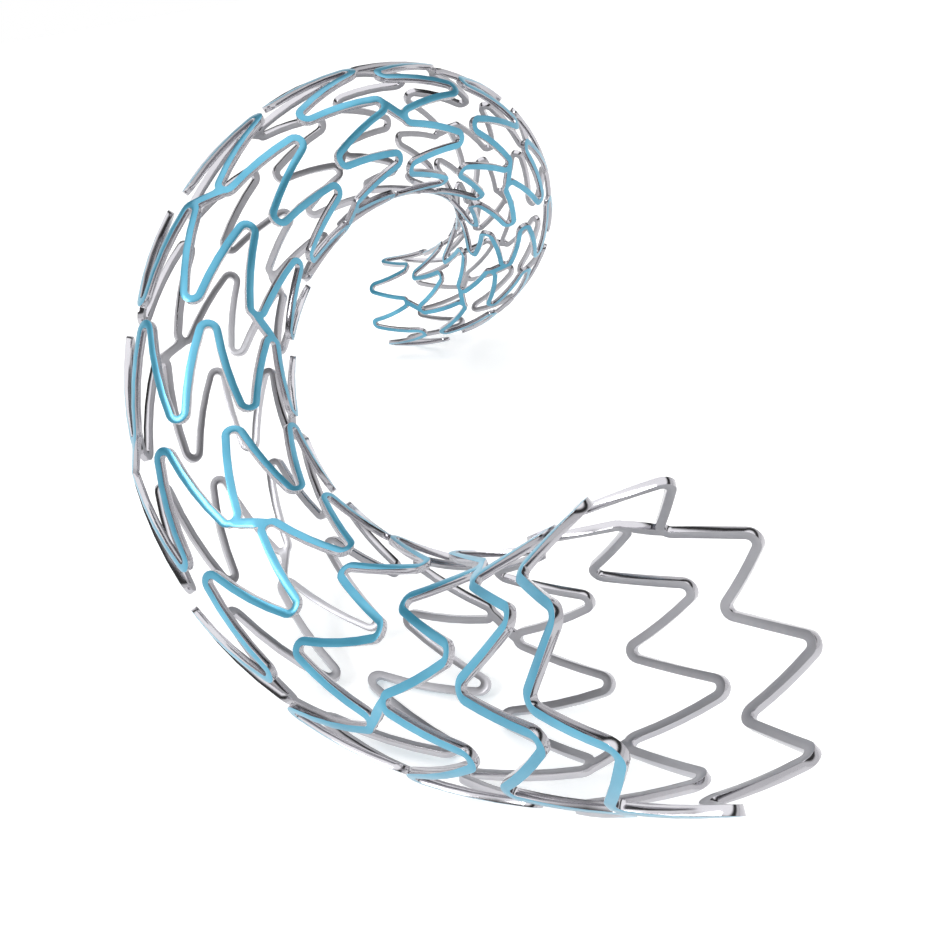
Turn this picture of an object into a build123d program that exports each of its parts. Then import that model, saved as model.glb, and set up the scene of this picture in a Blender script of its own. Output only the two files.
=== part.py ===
from build123d import *

import os
from math import asin, atan2, cos, hypot, pi, radians, sin

# Expanded coronary stent, laser cut from one thin metal tube and bent into a loose loop.
# Sizes are in millimetres and angles in degrees. It rests on z = 0, as it lies on a table.

# strut section
strut_width = 0.13
wall_thickness = 0.11

# zig-zag rings, each a row of crowns joined by straight struts
ring_count = 17
crowns_per_ring = 8
crown_bend_radius = 0.14
crown_corners = 4
crown_reach = 0.40
first_ring_at = 0.48
last_ring_trim = 0.13

# ring spacing and tube radius, each blended smoothly from the near end to the far end
ring_spacing = (1.18, 3.54, 0.32, 2.36)
tube_radius = (1.92, 1.55, 0.98, 1.50)

# turn of the rings about the centreline
first_crown_angle = 3.0
ring_twist = 5.0
stagger = 8.0

# diagonal links, two on opposite sides in every gap, and the crown each gap's first link leaves
link_width = 0.15
link_root_width = 0.24
link_root_share = 0.28
link_sink = 0.006
link_crowns = (2, 0, 1, 3, 0, 2, 3, 1, 2, 0, 1, 3, 0, 2, 1, 1)

# centreline of the tube
centreline_points = (
    (3.2, -8.9, 4.0),
    (-0.6, -5.6, -1.7),
    (-6.2, -4.2, 1.7),
    (-7.1, 0.3, 8.1),
    (0.1, 2.6, 11.8),
    (6.0, 4.1, 9.2),
    (5.0, 5.9, 1.8),
    (-0.3, 9.4, 1.5),
)
centreline_stations = 300
end_allowance = 0.5

crown_step = 360 / crowns_per_ring


def blend(values, t):
    """Smooth cubic blend of four values, t running from 0 to 1."""
    a, b, c, d = values
    return a * (1 - t) ** 3 + 3 * b * t * (1 - t) ** 2 + 3 * c * t * t * (1 - t) + d * t**3


# centreline with a short straight run past its far end
with BuildLine() as centreline:
    curve = Bezier(*centreline_points)
    Line(curve @ 1, curve @ 1 + (curve % 1) * end_allowance)

centreline_length = curve.length + end_allowance

# stations along the centreline: point, heading and an untwisted direction across it
stations = []
across = Vector(0, 0, 1)
for i in range(centreline_stations + 1):
    point = centreline.line @ (i / centreline_stations)
    heading = centreline.line % (i / centreline_stations)
    across = (across - heading * across.dot(heading)).normalized()
    stations.append((point, heading, across))


def on_tube(distance, angle, radius):
    """Point on the tube wall and the outward direction there."""
    place = min(max(distance / centreline_length, 0), 0.999999) * centreline_stations
    index = int(place)
    part = place - index
    point, heading, across = (
        near * (1 - part) + far * part for near, far in zip(stations[index], stations[index + 1])
    )
    heading = heading.normalized()
    across = (across - heading * across.dot(heading)).normalized()
    outward = across * cos(radians(angle)) + heading.cross(across) * sin(radians(angle))
    return point + outward * radius, outward


# where each ring sits along the centreline
ring_at = [first_ring_at]
for gap in range(1, ring_count):
    ring_at.append(ring_at[-1] + blend(ring_spacing, (gap - 0.5) / (ring_count - 1)))


def ring_sizes(ring):
    """Place along the centreline, half height, mid-wall radius and angle of the first crown."""
    t = ring / (ring_count - 1)
    trim = last_ring_trim if ring == ring_count - 1 else 0
    reach = crown_reach * blend(ring_spacing, t) - trim
    turn = first_crown_angle + ring_twist * t + (stagger if ring % 2 else 0)
    return ring_at[ring] - trim, reach, blend(tube_radius, t) - wall_thickness / 2, turn


def corner_turn(ring):
    """How far each corner of a crown turns, which leaves the struts the lean they need."""
    at, reach, radius, turn = ring_sizes(ring)
    half_step = pi * radius / crowns_per_ring
    rise = 2 * (reach - crown_bend_radius)
    lean = atan2(half_step, rise) - asin(2 * crown_bend_radius / hypot(half_step, rise))
    return (pi - 2 * lean) / crown_corners


def crown_plane(ring, crown):
    """Plane that touches the mid-wall at the middle of a crown's bend, its x toward the tip."""
    at, reach, radius, turn = ring_sizes(ring)
    end = -1 if crown % 2 == 0 else 1
    angle = turn + crown * crown_step / 2
    middle, outward = on_tube(at + end * (reach - crown_bend_radius), angle, radius)
    tip, tip_outward = on_tube(at + end * reach, angle, radius)
    side = outward.cross(tip - middle).normalized()
    return Plane(origin=middle, x_dir=side.cross(outward), z_dir=outward)


def cut_plane(ring, crown, side, facing):
    """Plane of the end face of a crown, on one side of its bend, where a strut joins it."""
    plane = crown_plane(ring, crown)
    turn = corner_turn(ring)
    swing = side * (crown_corners - 1) / 2 * turn
    away = plane.x_dir * cos(swing) + plane.y_dir * sin(swing)
    corner = plane.origin + away * (crown_bend_radius / cos(turn / 2))
    return Plane(origin=corner, x_dir=away * facing, z_dir=(away * facing).cross(plane.z_dir))


def link_plane(ring, crown):
    """Plane of a link, x from a far crown tip of one ring to a near tip of the next, and its length."""
    at, reach, radius, turn = ring_sizes(ring)
    next_at, next_reach, next_radius, next_turn = ring_sizes(ring + 1)
    next_crown = crown + 1 if ring % 2 == 0 else crown
    start, first = on_tube(at + reach, turn - (crown + 0.5) * crown_step, radius)
    end, last = on_tube(next_at - next_reach, next_turn - next_crown * crown_step, next_radius)
    heading = (end - start).normalized()
    side = (first + last).cross(heading).normalized()
    return Plane(origin=(start + end) / 2, x_dir=heading, z_dir=heading.cross(side)), (end - start).length


# zig-zag rings: flat crowns cut from the wall, with a strut lofted from each crown to the next
rings = []
for ring in range(ring_count):
    turn = corner_turn(ring)
    swings = [(i - (crown_corners - 1) / 2) * turn for i in range(crown_corners)]
    outer = (crown_bend_radius + strut_width / 2) / cos(turn / 2)
    inner = (crown_bend_radius - strut_width / 2) / cos(turn / 2)
    outline = (
        *((outer * cos(swing), outer * sin(swing)) for swing in swings),
        (inner * cos(swings[-1]), inner * sin(swings[-1])),
        (crown_bend_radius - strut_width / 2, 0),
        (inner * cos(swings[0]), inner * sin(swings[0])),
    )
    pieces = []
    with BuildPart() as zigzag:
        for crown in range(2 * crowns_per_ring):
            with BuildSketch(crown_plane(ring, crown)):
                with BuildLine():
                    Polyline(*outline, close=True)
                make_face()
            pieces.append(extrude(amount=wall_thickness / 2, both=True, mode=Mode.PRIVATE))

            next_crown = (crown + 1) % (2 * crowns_per_ring)
            side = 1 if crown % 2 == 0 else -1
            for end_plane in (cut_plane(ring, crown, side, 1), cut_plane(ring, next_crown, side, -1)):
                with BuildSketch(end_plane):
                    Rectangle(strut_width / cos(turn / 2), wall_thickness)
            pieces.append(loft(ruled=True, mode=Mode.PRIVATE))
        add(pieces[0].fuse(*pieces[1:], glue=True), clean=False)
    rings.append(zigzag.part)

# diagonal links, a little thinner than the wall and flared where they run into the crowns
links = []
for ring in range(ring_count - 1):
    for opposite in range(2):
        first_crown = link_crowns[ring % len(link_crowns)]
        plane, length = link_plane(ring, first_crown + opposite * crowns_per_ring // 2)
        half, neck = length / 2, length * (0.5 - link_root_share)
        edge = (
            (-half, link_root_width / 2),
            (-neck, link_width / 2),
            (neck, link_width / 2),
            (half, link_root_width / 2),
        )
        with BuildPart() as link:
            with BuildSketch(plane):
                with BuildLine():
                    Polyline(*edge, *((x, -y) for x, y in reversed(edge)), close=True)
                make_face()
            extrude(amount=wall_thickness / 2 - link_sink, both=True)
        links.append(link.part)

# one laser-cut tube
with BuildPart() as lattice:
    add(rings + links, clean=False)

# set down on the table, with the middle of its footprint at the origin
box = lattice.part.bounding_box()
with BuildPart() as stent_frame:
    add(lattice.part.moved(Location((-box.center().X, -box.center().Y, -box.min.Z))), clean=False)

stent_frame.part.label = "stent_frame"
os.makedirs("parts", exist_ok=True)
export_step(stent_frame.part, "parts/stent_frame.step")
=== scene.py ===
import logging
from dataclasses import dataclass, field
from enum import Enum
from math import asin, atan2, comb, cos, hypot, pi, radians, sin

import bmesh
import bpy
from mathutils import Euler, Matrix, Vector


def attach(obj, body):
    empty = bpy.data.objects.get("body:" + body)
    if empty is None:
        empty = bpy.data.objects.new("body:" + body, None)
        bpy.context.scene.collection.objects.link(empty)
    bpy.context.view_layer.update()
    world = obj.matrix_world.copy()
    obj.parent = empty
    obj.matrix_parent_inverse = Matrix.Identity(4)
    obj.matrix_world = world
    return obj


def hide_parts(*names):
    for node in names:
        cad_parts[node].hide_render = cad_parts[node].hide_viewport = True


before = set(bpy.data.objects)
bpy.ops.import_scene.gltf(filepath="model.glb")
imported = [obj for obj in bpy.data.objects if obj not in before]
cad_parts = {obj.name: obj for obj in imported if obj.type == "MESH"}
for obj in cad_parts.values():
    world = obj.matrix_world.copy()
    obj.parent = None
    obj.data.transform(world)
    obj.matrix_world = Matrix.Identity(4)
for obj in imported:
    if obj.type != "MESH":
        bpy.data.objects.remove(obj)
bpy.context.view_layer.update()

# Coronary stent, cut from one metal tube, coated blue outside and bent into a loose loop.
# Lengths are in metres unless a name says otherwise, and angles in degrees.

MM = 0.001
PHOTO_PIXELS = 940

log = logging.getLogger("stent")


class Side(Enum):
    """Which end of the tube a crown points to."""

    NEAR = -1
    FAR = 1


class Face(Enum):
    """Material slot of a face of the mesh tube."""

    CUT_SIDE = 0
    COATED = 1
    INNER = 2


def blend(values: tuple[float, ...], t: float) -> float:
    """Blends control values smoothly from the first to the last.

    Args:
        values: The control values, in order.
        t: Place between them, from 0 to 1.

    Returns:
        The blended value.
    """
    n = len(values) - 1
    return sum(comb(n, i) * (1 - t) ** (n - i) * t**i * value for i, value in enumerate(values))


@dataclass
class Centreline:
    """The bent middle line of the tube, with a direction across it that never twists."""

    points_mm: tuple[tuple[float, float, float], ...] = (
        (3.2, -8.9, 4.0),
        (-0.6, -5.6, -1.7),
        (-6.2, -4.2, 1.7),
        (-7.1, 0.3, 8.1),
        (0.1, 2.6, 11.8),
        (6.0, 4.1, 9.2),
        (5.0, 5.9, 1.8),
        (-0.3, 9.4, 1.5),
    )
    steps: int = 600
    places: list[Vector] = field(default_factory=list)
    headings: list[Vector] = field(default_factory=list)
    across: list[Vector] = field(default_factory=list)
    travelled: list[float] = field(default_factory=list)

    def __post_init__(self) -> None:
        """Walks along the line once and keeps its stations."""
        line = [Vector(point) * MM for point in self.points_mm]
        slopes = [(b - a) * (len(line) - 1) for a, b in zip(line, line[1:])]
        across = Vector((0, 0, 1))
        for i in range(self.steps + 1):
            t = i / self.steps
            place = Vector(blend(tuple(p[axis] for p in line), t) for axis in range(3))
            heading = Vector(blend(tuple(p[axis] for p in slopes), t) for axis in range(3)).normalized()
            across = (across - heading * across.dot(heading)).normalized()
            before = self.travelled[-1] + (place - self.places[-1]).length if self.places else 0.0
            self.places.append(place)
            self.headings.append(heading)
            self.across.append(across)
            self.travelled.append(before)

    def on_tube(self, distance: float, angle: float, radius: float) -> tuple[Vector, Vector]:
        """Finds a point of the tube wall.

        Args:
            distance: Distance along the line.
            angle: Angle about the line, in radians.
            radius: Distance from the line.

        Returns:
            The point, and the direction away from the line there.
        """
        end = self.travelled[-1]
        inside = min(max(distance, 0.0), end)
        low, high = 0, self.steps
        while high - low > 1:
            middle = (low + high) // 2
            low, high = (middle, high) if self.travelled[middle] <= inside else (low, middle)
        part = (inside - self.travelled[low]) / (self.travelled[high] - self.travelled[low])
        heading = self.headings[low].lerp(self.headings[high], part).normalized()
        place = self.places[low].lerp(self.places[high], part) + heading * (distance - inside)
        across = self.across[low].lerp(self.across[high], part)
        across = (across - heading * across.dot(heading)).normalized()
        outward = across * cos(angle) + heading.cross(across) * sin(angle)
        return place + outward * radius, outward


@dataclass(frozen=True)
class Coating:
    """Thin blue drug coating on the outer face, over bright metal."""

    name: str = "blue_coating"
    colour: tuple[float, float, float] = (0.006, 0.16, 0.27)
    pale: tuple[float, float, float] = (0.16, 0.54, 0.74)
    clouds: float = 900.0
    roughness: float = 0.28
    metallic: float = 0.5
    gloss: float = 0.4
    gloss_roughness: float = 0.15

    def material(self) -> bpy.types.Material:
        """Makes the material."""
        mat, nodes, links, shader = new_material(self.name)
        cloud_two_tones(nodes, links, shader, (self.colour, self.pale), self.clouds)
        shader.inputs["Roughness"].default_value = self.roughness
        shader.inputs["Metallic"].default_value = self.metallic
        shader.inputs["Coat Weight"].default_value = self.gloss
        shader.inputs["Coat Roughness"].default_value = self.gloss_roughness
        return mat


@dataclass(frozen=True)
class PolishedMetal:
    """Bare metal, mirror bright as on the cut sides unless another roughness is given."""

    name: str = "polished_metal"
    colour: tuple[float, float, float] = (0.38, 0.375, 0.40)
    bright: tuple[float, float, float] = (0.54, 0.53, 0.56)
    clouds: float = 1200.0
    roughness: float = 0.14

    def material(self) -> bpy.types.Material:
        """Makes the material."""
        mat, nodes, links, shader = new_material(self.name)
        cloud_two_tones(nodes, links, shader, (self.colour, self.bright), self.clouds)
        shader.inputs["Roughness"].default_value = self.roughness
        shader.inputs["Metallic"].default_value = 1.0
        return mat


def new_material(
    name: str,
) -> tuple[bpy.types.Material, bpy.types.Nodes, bpy.types.NodeLinks, bpy.types.Node]:
    """Starts a node material.

    Args:
        name: Name of the material.

    Returns:
        The material, its nodes, its links and its surface shader.
    """
    mat = bpy.data.materials.new(name)
    mat.use_nodes = True
    nodes = mat.node_tree.nodes
    return mat, nodes, mat.node_tree.links, nodes["Principled BSDF"]


def cloud_two_tones(
    nodes: bpy.types.Nodes,
    links: bpy.types.NodeLinks,
    shader: bpy.types.Node,
    tones: tuple[tuple[float, float, float], tuple[float, float, float]],
    scale: float,
) -> None:
    """Colours a surface in two tones that blend in soft clouds fixed to the object.

    Args:
        nodes: Nodes of the material.
        links: Links of the material.
        shader: Surface shader that takes the colour.
        tones: The two colours.
        scale: Clouds in a metre.
    """
    place = nodes.new("ShaderNodeTexCoord")
    noise = nodes.new("ShaderNodeTexNoise")
    noise.inputs["Scale"].default_value = scale
    noise.inputs["Detail"].default_value = 3.0
    links.new(place.outputs["Object"], noise.inputs["Vector"])
    mix = nodes.new("ShaderNodeMix")
    mix.data_type = "RGBA"
    mix.inputs["A"].default_value = (*tones[0], 1)
    mix.inputs["B"].default_value = (*tones[1], 1)
    links.new(noise.outputs["Fac"], mix.inputs["Factor"])
    links.new(mix.outputs["Result"], shader.inputs["Base Color"])


@dataclass
class MeshTube:
    """The whole stent: zig-zag rings with diagonal links between them."""

    line: Centreline
    strut_width: float = 0.13 * MM
    wall: float = 0.11 * MM
    rings: int = 17
    crowns: int = 8
    bend_radius: float = 0.14 * MM
    crown_reach: float = 0.40
    first_ring_at: float = 0.48 * MM
    last_ring_trim: float = 0.13 * MM
    spacing_mm: tuple[float, ...] = (1.18, 3.54, 0.32, 2.36)
    radius_mm: tuple[float, ...] = (1.92, 1.55, 0.98, 1.50)
    first_crown_angle: float = 3.0
    ring_twist: float = 5.0
    stagger: float = 8.0
    link_crowns: tuple[int, ...] = (2, 0, 1, 3, 0, 2, 3, 1, 2, 0, 1, 3, 0, 2, 1, 1)
    link_width: float = 0.15 * MM
    link_steps: int = 5
    link_root_faces: int = 3
    link_neck_rate: float = 4.8
    bend_steps: int = 8
    strut_steps: int = 4
    edge_round: float = 0.018 * MM
    edge_steps: int = 2
    rim_angle: float = 50.0
    rim_tolerance: float = 1e-3
    merge_share: float = 0.02
    tips: dict[tuple[int, int], list[bmesh.types.BMVert]] = field(default_factory=dict)

    def ring_sizes(self, ring: int) -> tuple[float, float, float, float]:
        """Gives the sizes of one ring.

        Args:
            ring: Number of the ring, from 0 at the near end.

        Returns:
            Its place along the line, half height, outer radius and the angle of its first crown.
        """
        last = self.rings - 1
        at = self.first_ring_at
        at += sum(blend(self.spacing_mm, (gap + 0.5) / last) * MM for gap in range(ring))
        trim = self.last_ring_trim if ring == last else 0.0
        reach = self.crown_reach * blend(self.spacing_mm, ring / last) * MM - trim
        turn = self.first_crown_angle + self.ring_twist * ring / last
        turn += self.stagger if ring % 2 else 0.0
        return at - trim, reach, blend(self.radius_mm, ring / last) * MM, radians(turn)

    def flat_ring(self, bm: bmesh.types.BMesh, ring: int) -> list[bmesh.types.BMVert]:
        """Draws one ring as a flat ribbon: x along the tube, y round it, both true lengths.

        Args:
            bm: Mesh to draw into.
            ring: Number of the ring.

        Returns:
            Every new vertex of the ring.
        """
        _, reach, radius, _ = self.ring_sizes(ring)
        step = pi * radius / self.crowns
        rise = 2 * (reach - self.bend_radius)
        lean = atan2(step, rise) - asin(2 * self.bend_radius / hypot(step, rise))
        swing = pi - 2 * lean
        half = self.strut_width / 2
        along = hypot(step, rise)
        run = (along * along - 4 * self.bend_radius * self.bend_radius) ** 0.5
        known = set(bm.verts)
        # first cut across the strut that leads into the first near crown
        centre = Vector((-reach + self.bend_radius, 0, 0))
        away = Vector((-cos(swing / 2), -sin(swing / 2), 0))
        ends = [bm.verts.new(centre + away * (self.bend_radius + side * half)) for side in (-1, 1)]
        edge = bm.edges.new(ends)
        for crown in range(2 * self.crowns):
            end = Side.NEAR if crown % 2 == 0 else Side.FAR
            centre = Vector((end.value * (reach - self.bend_radius), crown * step, 0))
            grown = bmesh.ops.spin(
                bm, geom=[edge, *edge.verts], cent=centre, axis=(0, 0, 1),
                angle=end.value * swing, steps=self.bend_steps,
            )
            edge = next(g for g in grown["geom_last"] if isinstance(g, bmesh.types.BMEdge))
            for part in range(self.strut_steps):
                grown = bmesh.ops.extrude_edge_only(bm, edges=[edge])
                edge = next(g for g in grown["geom"] if isinstance(g, bmesh.types.BMEdge))
                heading = Vector((-end.value * cos(lean), sin(lean), 0))
                bmesh.ops.translate(bm, verts=edge.verts, vec=heading * run / self.strut_steps)
        return [v for v in bm.verts if v not in known]

    def wrap_ring(self, bm: bmesh.types.BMesh, ring: int, verts: list[bmesh.types.BMVert]) -> None:
        """Wraps a flat ring round the tube and notes the rims of its crowns.

        Args:
            bm: Mesh the ring is in.
            ring: Number of the ring.
            verts: The ring's vertices.
        """
        at, reach, radius, turn = self.ring_sizes(ring)
        outward_layer = bm.verts.layers.float_vector["outward"]
        rim = self.bend_radius + self.strut_width / 2
        step = pi * radius / self.crowns
        for v in verts:
            crown = round(v.co.y / step)
            end = -1 if crown % 2 == 0 else 1
            off = v.co - Vector((end * (reach - self.bend_radius), crown * step, 0))
            if crown < 2 * self.crowns and abs(off.length - rim) < rim * self.rim_tolerance:
                self.tips.setdefault((ring, crown), []).append(v)
        for tip in (key for key in self.tips if key[0] == ring):
            self.tips[tip].sort(key=lambda v: v.co.y)
        for v in verts:
            place, outward = self.line.on_tube(at + v.co.x, turn + v.co.y / radius, radius)
            v.co = place
            v[outward_layer] = outward

    def link(self, bm: bmesh.types.BMesh, ring: int, first_crown: int) -> None:
        """Joins a far crown of a ring to a near crown of the next by a short flared link.

        Args:
            bm: Mesh the rings are in.
            ring: Number of the nearer ring.
            first_crown: Which crown of that ring the link leaves.
        """
        count = 2 * self.crowns
        next_crown = first_crown + 1 if ring % 2 == 0 else first_crown
        start = self.tips[ring, -(2 * first_crown + 1) % count]
        end = self.tips[ring + 1, -2 * next_crown % count]
        toward = -1 if ring % 2 == 0 else 1
        faces = self.link_root_faces
        low = self.bend_steps // 2 - (1 if toward > 0 else 2)
        rows = (start[low : low + faces + 1], end[self.bend_steps - low - faces :][: faces + 1])
        first, last = (sum((v.co for v in row), Vector()) / len(row) for row in rows)
        outward_layer = bm.verts.layers.float_vector["outward"]
        outward = (rows[0][0][outward_layer] + rows[1][0][outward_layer]).normalized()
        side = (last - first).cross(outward).normalized()
        if side.dot(rows[0][-1].co - rows[0][0].co) < 0:
            side.negate()
        flare = [[v.co - centre for v in row] for row, centre in zip(rows, (first, last))]
        row = rows[0]
        for part in range(1, self.link_steps):
            t = part / self.link_steps
            necking = min(1.0, self.link_neck_rate * t * (1 - t))
            grown = bmesh.ops.extrude_edge_only(bm, edges=[bm.edges.get(p) for p in zip(row, row[1:])])
            fresh = [g for g in grown["geom"] if isinstance(g, bmesh.types.BMVert)]
            row = [min(fresh, key=lambda new: (new.co - old.co).length) for old in row]
            for i, v in enumerate(row):
                neck = side * self.link_width * (i / (len(row) - 1) - 0.5)
                v.co = first.lerp(last, t) + flare[0][i].lerp(flare[1][i], t).lerp(neck, necking)
                v[outward_layer] = outward
        ends = [bm.edges.get(pair) for r in (row, rows[1]) for pair in zip(r, r[1:])]
        bmesh.ops.bridge_loops(bm, edges=ends)

    def build(self) -> bpy.types.Object:
        """Builds the mesh tube as one closed piece.

        Returns:
            The finished object, at the origin.
        """
        bm = bmesh.new()
        outward_layer = bm.verts.layers.float_vector.new("outward")
        for ring in range(self.rings):
            self.wrap_ring(bm, ring, self.flat_ring(bm, ring))
        for ring, crown in enumerate(self.link_crowns):
            for opposite in range(2):
                self.link(bm, ring, crown + opposite * self.crowns // 2)
        bmesh.ops.remove_doubles(bm, verts=bm.verts, dist=self.strut_width * self.merge_share)
        outer = list(bm.faces)
        grown = bmesh.ops.extrude_face_region(bm, geom=outer)
        for v in (g for g in grown["geom"] if isinstance(g, bmesh.types.BMVert)):
            v.co -= v[outward_layer] * self.wall
        for face in bm.faces:
            face.material_index = Face.CUT_SIDE.value
            face.smooth = True
        for face in (g for g in grown["geom"] if isinstance(g, bmesh.types.BMFace)):
            face.material_index = Face.INNER.value
        for face in outer:
            face.material_index = Face.COATED.value
        bmesh.ops.recalc_face_normals(bm, faces=bm.faces)
        sharp = radians(self.rim_angle)
        rims = [e for e in bm.edges if e.is_manifold and e.calc_face_angle() > sharp]
        bmesh.ops.bevel(
            bm, geom=rims, affect="EDGES", offset=self.edge_round, offset_type="OFFSET",
            segments=self.edge_steps, profile=0.5, material=-1, clamp_overlap=True,
        )
        mesh = bpy.data.meshes.new("stent_mesh_tube")
        bm.to_mesh(mesh)
        bm.free()
        return bpy.data.objects.new("stent_mesh_tube", mesh)


def set_on_floor(piece: bpy.types.Object) -> Vector:
    """Moves the mesh so that it rests where the frame does.

    Args:
        piece: The object, at the origin.

    Returns:
        How far its vertices moved.
    """
    corners = [v.co for v in piece.data.vertices]
    low = Vector(min(c[axis] for c in corners) for axis in range(3))
    high = Vector(max(c[axis] for c in corners) for axis in range(3))
    move = -Vector(((low.x + high.x) / 2, (low.y + high.y) / 2, low.z))
    piece.data.transform(Matrix.Translation(move))
    return move


@dataclass
class Studio:
    """Pale floor, soft dome, one small lamp and the photograph's camera.

    The dome is given as pairs: height of a direction, from 0 level to 1 overhead, and brightness.
    """

    camera_at: tuple[float, float, float] = (0.94 * MM, -14.43 * MM, 10.47 * MM)
    looks_down: float = 34.41
    looks_left: float = -0.46
    leans: float = -9.9
    focal_pixels: float = 730.9
    sensor_mm: float = 36.0
    floor_size: float = 40.0
    floor_colour: float = 0.85
    floor_lift: float = 0.36
    lamp_at: tuple[float, float, float] = (-25 * MM, -25 * MM, 40 * MM)
    lamp_aim: tuple[float, float, float] = (0, 0, 4 * MM)
    lamp_size: float = 12 * MM
    lamp_watts: float = 0.006
    near_clip: float = 0.1 * MM
    far_clip: float = 10.0
    dome: tuple[tuple[float, float], ...] = (
        (0.0, 1.0),
        (0.36, 1.0),
        (0.48, 0.03),
        (0.68, 0.05),
        (0.8, 1.7),
    )

    def camera(self, move: Vector) -> None:
        """Sets the camera where the photograph was taken from.

        Args:
            move: The same move that set the piece on the floor.
        """
        data = bpy.data.cameras.new("camera")
        data.sensor_width = self.sensor_mm
        data.lens = self.focal_pixels / PHOTO_PIXELS * self.sensor_mm
        data.clip_start = self.near_clip
        data.clip_end = self.far_clip
        camera = bpy.data.objects.new("camera", data)
        camera.location = Vector(self.camera_at) + move
        aim = Euler((radians(90 - self.looks_down), 0, radians(self.looks_left))).to_matrix()
        camera.rotation_euler = (aim @ Matrix.Rotation(radians(self.leans), 3, "Z")).to_euler()
        bpy.context.scene.collection.objects.link(camera)
        bpy.context.scene.camera = camera

    def lamp(self) -> None:
        """Adds a small square lamp that points at the middle of the stent, for its highlights."""
        data = bpy.data.lights.new("key", "AREA")
        data.size = self.lamp_size
        data.energy = self.lamp_watts
        lamp = bpy.data.objects.new("key", data)
        lamp.location = self.lamp_at
        ray = Vector(self.lamp_aim) - Vector(self.lamp_at)
        lamp.rotation_euler = ray.to_track_quat("-Z", "Y").to_euler()
        bpy.context.scene.collection.objects.link(lamp)

    def floor(self) -> bpy.types.Object:
        """Makes the pale floor, which looks white outside its shadows, in the metal too.

        Returns:
            The floor.
        """
        bm = bmesh.new()
        bmesh.ops.create_grid(bm, x_segments=1, y_segments=1, size=self.floor_size / 2)
        mesh = bpy.data.meshes.new("floor")
        bm.to_mesh(mesh)
        bm.free()
        floor_piece = bpy.data.objects.new("floor", mesh)
        mat, nodes, links, shader = new_material("pale_floor")
        shader.inputs["Base Color"].default_value = (*[self.floor_colour] * 3, 1)
        shader.inputs["Roughness"].default_value = 1.0
        shader.inputs["Specular IOR Level"].default_value = 0.0
        shader.inputs["Emission Color"].default_value = (1, 1, 1, 1)
        path = nodes.new("ShaderNodeLightPath")
        seen = path.outputs["Is Camera Ray"]
        for ray in ("Is Glossy Ray", "Is Transmission Ray"):
            either = nodes.new("ShaderNodeMath")
            either.operation = "MAXIMUM"
            links.new(seen, either.inputs[0])
            links.new(path.outputs[ray], either.inputs[1])
            seen = either.outputs[0]
        lift = nodes.new("ShaderNodeMath")
        lift.operation = "MULTIPLY"
        lift.inputs[1].default_value = self.floor_lift
        links.new(seen, lift.inputs[0])
        links.new(lift.outputs[0], shader.inputs["Emission Strength"])
        mesh.materials.append(mat)
        return floor_piece

    def world(self) -> None:
        """Lights everything from a dome that is white low down, dim above and bright overhead."""
        world = bpy.data.worlds.new("dome")
        world.use_nodes = True
        nodes, links = world.node_tree.nodes, world.node_tree.links
        place = nodes.new("ShaderNodeTexCoord")
        parts = nodes.new("ShaderNodeSeparateXYZ")
        ramp = nodes.new("ShaderNodeValToRGB")
        bands = ramp.color_ramp
        while len(bands.elements) < len(self.dome):
            bands.elements.new(0.5)
        for element, (height, level) in zip(bands.elements, self.dome):
            element.position = height
            element.color = (level, level, level, 1)
        links.new(place.outputs["Generated"], parts.inputs[0])
        links.new(parts.outputs["Z"], ramp.inputs["Fac"])
        links.new(ramp.outputs["Color"], nodes["Background"].inputs["Color"])
        nodes["Background"].inputs["Strength"].default_value = 1.0
        bpy.context.scene.world = world


def main() -> None:
    """Builds the stent and the studio round it."""
    logging.basicConfig(level=logging.INFO)
    piece = MeshTube(Centreline()).build()
    move = set_on_floor(piece)
    # Inner faces: the same bare metal, rougher as a satin finish, and partly painted shade: a darker
    # grey than the cut sides stands in for the shade inside the tube.
    satin_painted_shade = PolishedMetal("satin_metal_painted_shade", (0.30, 0.30, 0.32), (0.45, 0.445, 0.47), roughness=0.34)
    finishes = {
        Face.CUT_SIDE: PolishedMetal().material(),
        Face.COATED: Coating().material(),
        # the inner faces take the darker metal, with its painted shade
        Face.INNER: satin_painted_shade.material(),
    }
    for face in Face:
        piece.data.materials.append(finishes[face])
    bpy.context.scene.collection.objects.link(piece)
    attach(piece, "root")
    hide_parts("stent_frame")
    log.info("%s: %d faces", piece.name, len(piece.data.polygons))
    studio = Studio()
    studio.camera(move)
    studio.world()
    floor_piece = studio.floor()
    bpy.context.scene.collection.objects.link(floor_piece)
    studio.lamp()
    bpy.context.scene.view_settings.view_transform = "Standard"


if __name__ == "__main__":
    main()
